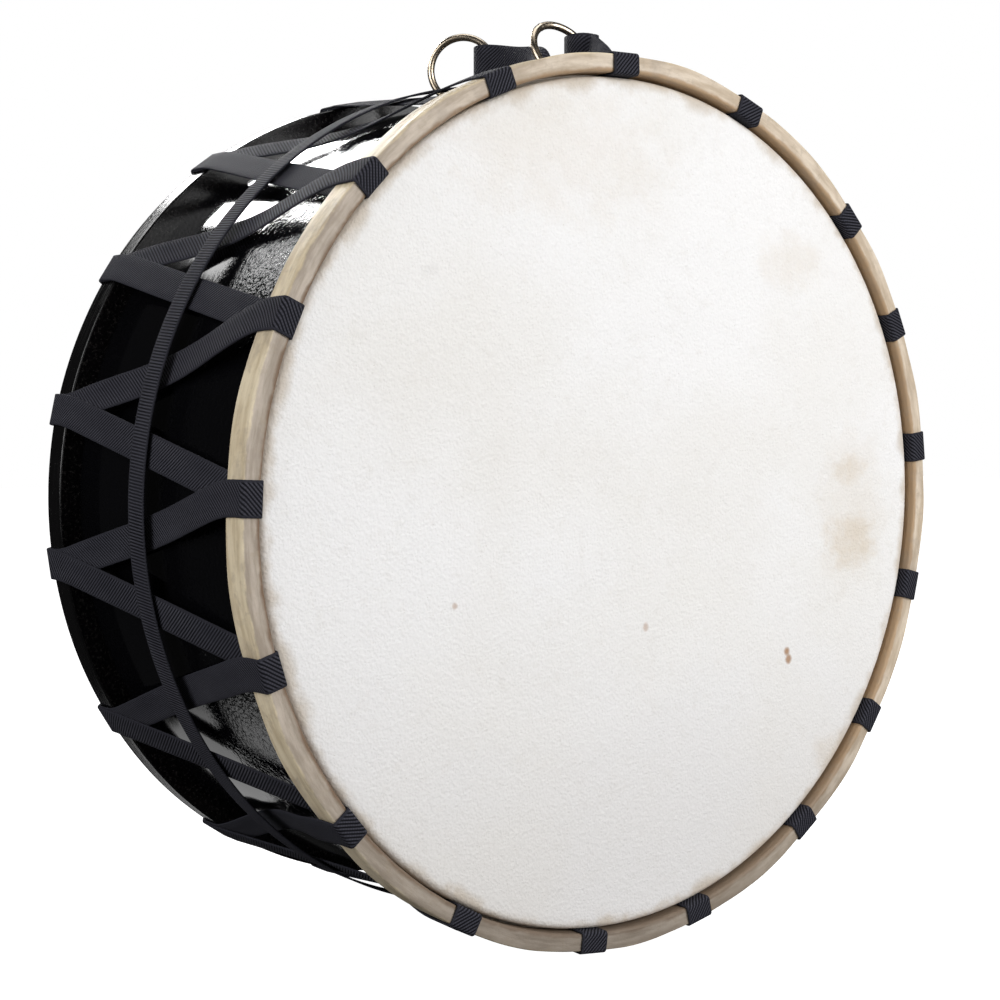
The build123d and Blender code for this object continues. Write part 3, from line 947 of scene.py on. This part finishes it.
def make_ring(name, node, body, mount, weld_at, material):
    """A ring of bent wire, thicker at its weld."""
    low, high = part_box(node)
    opening = next(m for m in frame["record"]["mounts"] if m["name"] == mount)
    centre, axis = Vector(opening["pos_m"]), Vector(opening["axis"]).normalized()
    ring_r = max(high - low) / 2 - WIRE_R
    side = axis.cross(Vector((0, 0, 1))).normalized()
    up = side.cross(axis).normalized()
    segments, around = 128, 20
    points = np.zeros((segments, around, 3))
    for i in range(segments):
        angle = 2 * pi * i / segments
        out = side * cos(angle) + up * sin(angle)
        from_weld = abs((angle - radians(weld_at) + pi) % (2 * pi) - pi) * ring_r
        bead = 0.22 * MM * np.exp(-((from_weld / (1.0 * MM)) ** 2))
        nick = 0.15 * MM * np.exp(-(((from_weld - 1.5 * MM) / (0.4 * MM)) ** 2))
        for j in range(around):
            turn = 2 * pi * j / around
            radius = WIRE_R + bead - nick - 0.06 * MM
            points[i, j] = centre + out * (ring_r + radius * cos(turn)) + axis * radius * sin(turn)
    u = np.arange(segments + 1) / segments * 2 * pi * ring_r
    v = np.arange(around + 1) / around * 2 * pi * WIRE_R
    mesh = grid_mesh(name, points, [[(a, b) for b in v] for a in u], True, True)
    piece = finish_mesh(name, mesh, material, body)
    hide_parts(node)


# ---------------------------------------------------------------- stage


def make_stage():
    """A pale floor under the drum, which glows evenly."""
    bm = bmesh.new()
    bmesh.ops.create_grid(bm, x_segments=1, y_segments=1, size=6)
    mesh = bpy.data.meshes.new("floor")
    bm.to_mesh(mesh)
    bm.free()
    floor = bpy.data.objects.new("floor", mesh)
    floor.location.z = CAD_BOX[0][2] - 0.5 * MM
    paint = Finish("floor_paint", Roughness=0.9, Emission_Strength=1.0)
    paint.out("Base Color", (0.85, 0.85, 0.85))
    paint.out("Emission Color", (1.0, 1.0, 1.0))
    mesh.materials.append(paint.material)
    bpy.context.scene.collection.objects.link(floor)
    floor.visible_glossy = False
    floor.visible_diffuse = False


def make_world():
    """White to the camera, an even pale light on matt surfaces, and nearly black in reflections."""
    world = bpy.data.worlds.new("studio")
    bpy.context.scene.world = world
    world.use_nodes = True
    tree = world.node_tree
    background = tree.nodes["Background"]
    background.inputs["Color"].default_value = (1, 1, 1, 1)
    rays = tree.nodes.new("ShaderNodeLightPath")
    level = REFLECTED_WORLD
    for ray, strength in (("Is Diffuse Ray", MATT_WORLD), ("Is Camera Ray", 1.0)):
        choice = tree.nodes.new("ShaderNodeMix")
        tree.links.new(rays.outputs[ray], choice.inputs[0])
        if isinstance(level, float):
            choice.inputs[2].default_value = level
        else:
            tree.links.new(level, choice.inputs[2])
        choice.inputs[3].default_value = strength
        level = choice.outputs[0]
    tree.links.new(level, background.inputs["Strength"])


def softbox(name, at, aim, width, height, power, on_matt=True):
    """A rectangular light. Both points are given from the middle of the front hoop's face."""
    light = bpy.data.lights.new(name, "AREA")
    light.shape = "RECTANGLE"
    light.size, light.size_y = width, height
    light.energy = power
    lamp = bpy.data.objects.new(name, light)
    lamp.location = Vector((0, FRONT_Y, AXIS_Z)) + Vector(at)
    lamp.rotation_euler = (Vector(aim) - Vector(at)).to_track_quat("-Z", "Y").to_euler()
    lamp.visible_camera = False
    lamp.visible_diffuse = on_matt
    bpy.context.scene.collection.objects.link(lamp)


# Name, place, aim, width, height, watts, and whether it lights matt surfaces as well as showing in gloss.
# The first four stand behind the drum and are only what the shell's left side mirrors: a bright bank, a
# dimmer one beside it, a low card, and a card that edges the hoop.
SOFTBOXES = [
    ("back_bank", (0.02, 0.9, 0.70), (0.02, 0.0, 0.70), 0.38, 0.33, 8.0, False),
    ("side_bank", (-0.36, 0.9, 0.70), (-0.36, 0.0, 0.70), 0.24, 0.33, 0.8, False),
    ("low_card", (-0.20, 0.9, -0.66), (-0.20, 0.0, -0.66), 0.62, 0.26, 0.3, False),
    ("rim_card", (0.24, 0.9, 0.0), (0.24, 0.0, 0.0), 0.42, 0.64, 0.25, False),
    ("front_bank", (0.5, -1.7, 0.6), (0, 0, 0), 1.6, 1.4, 34.0),
    ("left_bank", (-2.0, 0.1, 0.7), (0, 0.1, 0), 1.4, 1.4, 22.0),
    ("top_bank", (0.2, 0.3, 1.8), (0, 0.1, 0), 1.2, 1.0, 8.0),
]
REFLECTED_WORLD = 0.012
MATT_WORLD = 0.22
CAMERA_AT = (-0.7902, -0.8827, 0.0731)  # from the centre of the front hoop's face
CAMERA_YAW = 37.41
CAMERA_PITCH = -3.32


def make_camera():
    """The camera, at the photograph's viewing angle."""
    camera = bpy.data.cameras.new("camera")
    camera.lens = 63.24
    camera.sensor_width = 36
    eye = bpy.data.objects.new("camera", camera)
    eye.location = Vector((0, FRONT_Y, AXIS_Z)) + Vector(CAMERA_AT)
    eye.rotation_euler = (radians(90 + CAMERA_PITCH), 0, radians(-CAMERA_YAW))
    bpy.context.scene.collection.objects.link(eye)
    bpy.context.scene.camera = eye


def main():
    bpy.context.scene.view_settings.view_transform = "Standard"
    make_camera()
    make_stage()
    make_world()
    for box in SOFTBOXES:
        softbox(*box)

    hide = hide_finish("front_hide", HEAD_STAINS)
    rear_hide = hide_finish("rear_hide", [], 0.95, True)
    twill = webbing_finish("webbing_twill", -45)
    ribbed = webbing_finish("webbing_ribbed", -5)
    steel = steel_finish()
    wood = wood_finish()
    thread = thread_finish()

    make_shell(shell_finish())
    make_head("front_hide", "front_head", hide, False, HOOP_R - 3 * MM, 41)
    make_head("rear_hide", "rear_head", rear_hide, True, HOOP_R - 1 * MM, 51)
    make_lap(lap_finish())
    make_rear_hoop(hoop_lacquer_finish())
    make_lacing(twill)
    make_belt(ribbed, thread)
    make_tab("rear_ring_tab_strap", "ring_tab_rear", REAR_TAB, REAR_EYE, twill, thread)
    make_tab("front_ring_tab_strap", "ring_tab_front", FRONT_TAB, FRONT_EYE, twill, thread)
    make_ring("rear_carrying_ring", "ring_rear", "rear_ring", "rear_ring_opening", 150, steel)
    make_ring("front_carrying_ring", "ring_front", "front_ring", "front_ring_opening", 60, steel)
    for node in ("shell_ring_front", "shell_ring_rear", "front_hoop"):
        for slot in frame["nodes"][node].material_slots:
            slot.material = wood


main()
